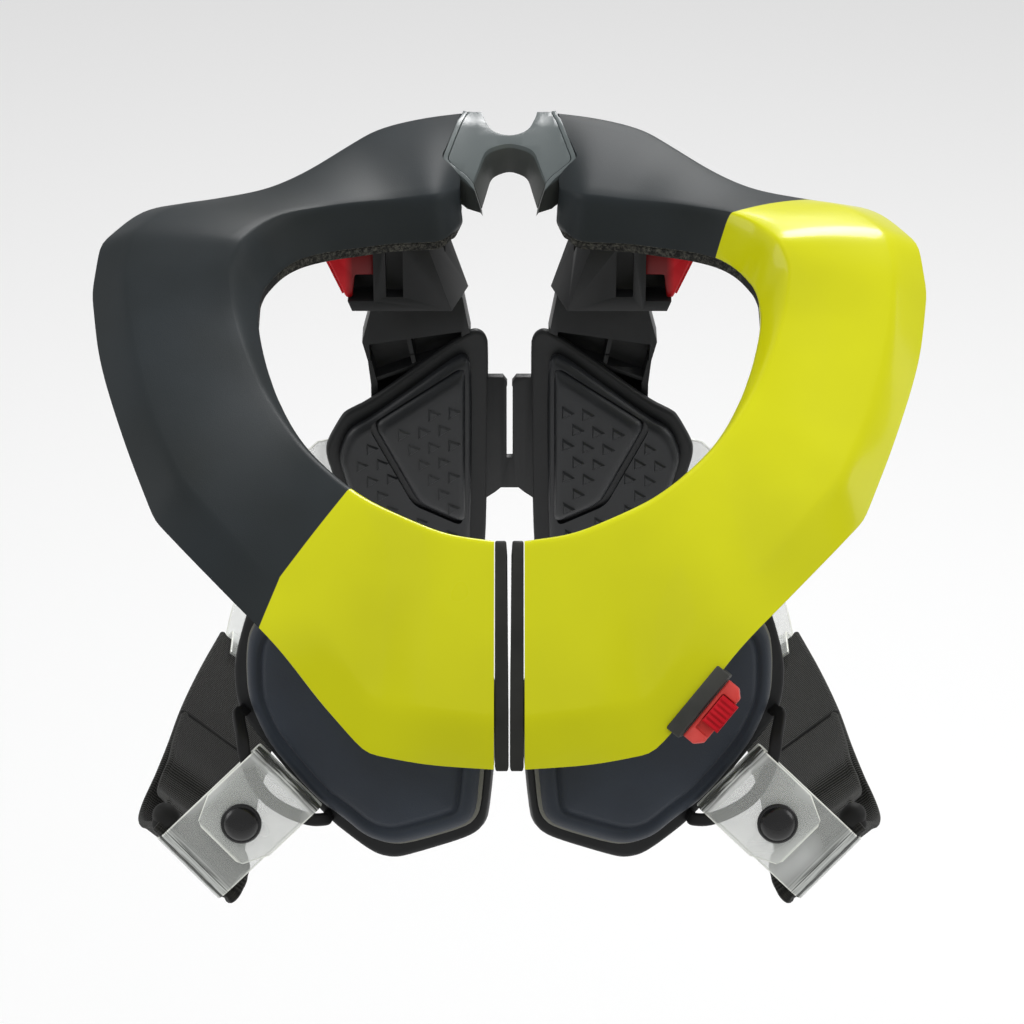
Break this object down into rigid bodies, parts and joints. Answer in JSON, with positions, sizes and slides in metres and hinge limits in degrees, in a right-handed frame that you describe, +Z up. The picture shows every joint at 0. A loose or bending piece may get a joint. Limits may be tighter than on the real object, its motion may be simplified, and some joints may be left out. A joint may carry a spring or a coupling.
{
  "type": "motocross neck brace",
  "caption": "Rigid collar worn round the neck, in two hinged halves with a front latch, on chest and back supports joined by side straps.",
  "frame": {"origin": "middle of the neck opening, level with where the collar's sides rest on the shoulders", "axes": "+X towards the wearer's left, -Y towards the front latch side, +Z up towards the head"},
  "size_m": [0.295, 0.2699, 0.1992],
  "materials": {
    "cover_yellow": "gloss",
    "cover_dark": "satin",
    "chassis": "matte",
    "bridge": "satin",
    "black_plastic": "satin",
    "dark_plastic": "matte",
    "chest_foam": "matte foam",
    "strap_band": "matte",
    "clear_strip": "clear flexible plastic",
    "snap": "gloss",
    "elastic": "ribbed weave",
    "red_plastic": "satin",
    "light_red_plastic": "satin",
    "back_rubber": "matte"
  },
  "bodies": {
    "right_half": {"cover_right": "cover_dark", "chassis_right": "chassis", "bezel_right": "bridge", "end_plate_right": "black_plastic", "chest_plate_right": "black_plastic", "chest_pad_right": "chest_foam", "pad_loop_right": "strap_band", "front_tab_right": "clear_strip", "snap_cap_right": "snap", "elastic_strap_right": "elastic", "rear_tab_right": "clear_strip", "strut_housing_right": "black_plastic", "strut_right": "black_plastic", "back_plate_right": "black_plastic", "back_pad_right": "back_rubber", "rear_bridge": "bridge", "back_web": "black_plastic"},
    "left_half": {"cover_left": "cover_yellow", "chassis_left": "chassis", "bezel_left": "bridge", "end_plate_left": "black_plastic", "chest_plate_left": "black_plastic", "chest_pad_left": "chest_foam", "pad_loop_left": "strap_band", "front_tab_left": "clear_strip", "snap_cap_left": "snap", "elastic_strap_left": "elastic", "rear_tab_left": "clear_strip", "strut_housing_left": "black_plastic", "strut_left": "black_plastic", "back_plate_left": "black_plastic", "back_pad_left": "back_rubber", "latch_bracket": "dark_plastic", "latch_frame": "light_red_plastic"},
    "left_clip": {"adjust_clip_left": "red_plastic"},
    "right_clip": {"adjust_clip_right": "red_plastic"},
    "latch_thumb": {"latch_thumb": "red_plastic"}
  },
  "joints": [
    {"name": "front_opening", "type": "hinge", "parent": "right_half", "child": "left_half", "pos_m": [0, 0.115, 0.033], "axis": [0, 0.087, 0.9962], "range_deg": [0, 36], "stiffness_Nm_per_rad": 0.5, "springref_deg": -5.73, "deforming": ["rear_bridge", "back_web"]},
    {"name": "front_latch", "type": "slide", "parent": "left_half", "child": "latch_thumb", "axis": [-0.6333, -0.3548, -0.6877], "range_m": [0, 0.003], "stiffness_N_per_m": 300, "springref_m": -0.002},
    {"name": "left_clip_slide", "type": "slide", "parent": "left_half", "child": "left_clip", "axis": [-1, 0, 0], "range_m": [0, 0.003], "stiffness_N_per_m": 300, "springref_m": -0.002},
    {"name": "right_clip_slide", "type": "slide", "parent": "right_half", "child": "right_clip", "axis": [1, 0, 0], "range_m": [0, 0.003], "stiffness_N_per_m": 300, "springref_m": -0.002}
  ]
}
